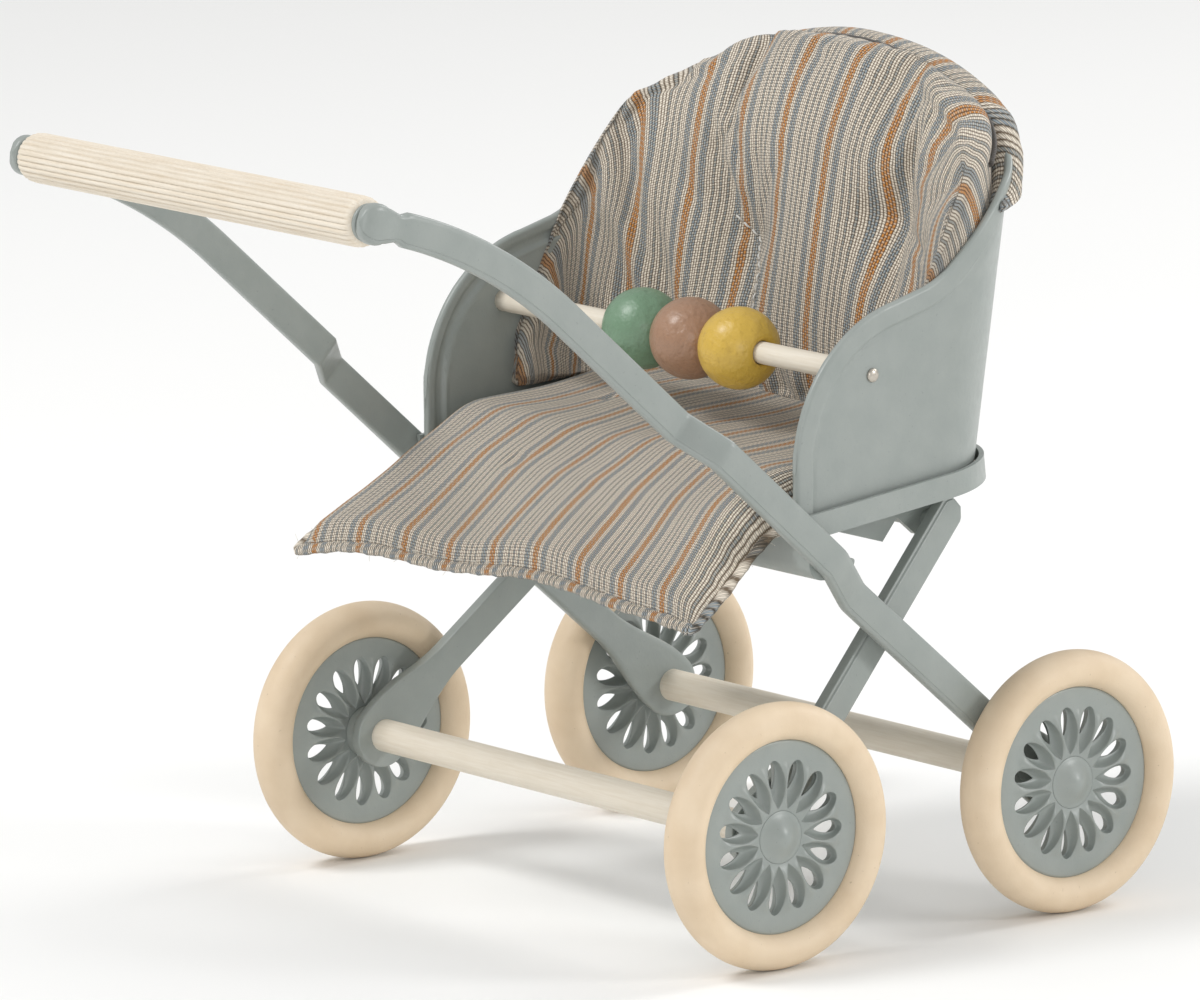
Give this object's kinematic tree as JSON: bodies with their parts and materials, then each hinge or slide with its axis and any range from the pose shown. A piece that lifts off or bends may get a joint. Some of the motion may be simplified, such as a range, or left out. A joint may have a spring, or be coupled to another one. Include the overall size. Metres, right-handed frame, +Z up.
{
  "type": "doll stroller",
  "caption": "Small metal doll stroller with a wrap-round seat facing the fluted wooden handle, a bead bar, striped linen cushions and petal-pierced wheels.",
  "frame": {"origin": "on the ground under the middle of the bounding box", "axes": "+Y from the push handle towards the seat back, +X to the right when pushing, +Z up"},
  "size_m": [0.0854, 0.1174, 0.1026],
  "materials": {
    "paint": "grey-green enamel on sheet metal, satin",
    "dowel_wood": "cream painted dowel, satin",
    "grip_wood": "cream fluted wood, matt",
    "tyre_cream": "cream solid tyre, matt",
    "nail_steel": "bare steel",
    "bead_green": "green lacquered wood",
    "bead_brown": "brown lacquered wood",
    "bead_yellow": "yellow lacquered wood",
    "striped_linen": "linen weave with blue-grey and ochre stripes"
  },
  "bodies": {
    "frame": {"handle_grip": "grip_wood", "handle_rod": "nail_steel", "handle_collar_right": "paint", "handle_collar_left": "paint", "side_bar_right": "paint", "side_bar_left": "paint", "leg_right": "paint", "leg_left": "paint", "leg_cross_tube": "paint", "seat_gusset_right": "paint", "seat_gusset_left": "paint", "seat_cross_brace": "paint", "seat_shell": "paint", "seat_pan": "paint", "bead_bar": "dowel_wood", "bead_bar_nails": "nail_steel", "seat_cushion": "striped_linen", "back_cushion": "striped_linen", "back_cushion_pocket": "striped_linen"},
    "bead_green_body": {"bead_green": "bead_green"},
    "bead_brown_body": {"bead_brown": "bead_brown"},
    "bead_yellow_body": {"bead_yellow": "bead_yellow"},
    "front_wheelset": {"front_axle_dowel": "dowel_wood", "front_wheel_disc_right": "paint", "front_tyre_right": "tyre_cream", "front_wheel_disc_left": "paint", "front_tyre_left": "tyre_cream"},
    "rear_wheelset": {"rear_axle_dowel": "dowel_wood", "rear_wheel_disc_right": "paint", "rear_tyre_right": "tyre_cream", "rear_wheel_disc_left": "paint", "rear_tyre_left": "tyre_cream"}
  },
  "joints": [
    {"name": "front_wheels_spin", "type": "hinge", "parent": "frame", "child": "front_wheelset", "pos_m": [0, 0.0427, 0.016], "axis": [1, 0, 0], "continuous": true},
    {"name": "rear_wheels_spin", "type": "hinge", "parent": "frame", "child": "rear_wheelset", "pos_m": [0, -0.0027, 0.016], "axis": [1, 0, 0], "continuous": true},
    {"name": "bead_green_slide", "type": "slide", "parent": "frame", "child": "bead_green_body", "axis": [1, 0, 0], "range_m": [-0.019, 0]},
    {"name": "bead_brown_spin", "type": "hinge", "parent": "frame", "child": "bead_brown_body", "pos_m": [0.0016, 0.0163, 0.0681], "axis": [1, 0, 0], "continuous": true},
    {"name": "bead_yellow_slide", "type": "slide", "parent": "frame", "child": "bead_yellow_body", "axis": [1, 0, 0], "range_m": [0, 0.0158]}
  ]
}
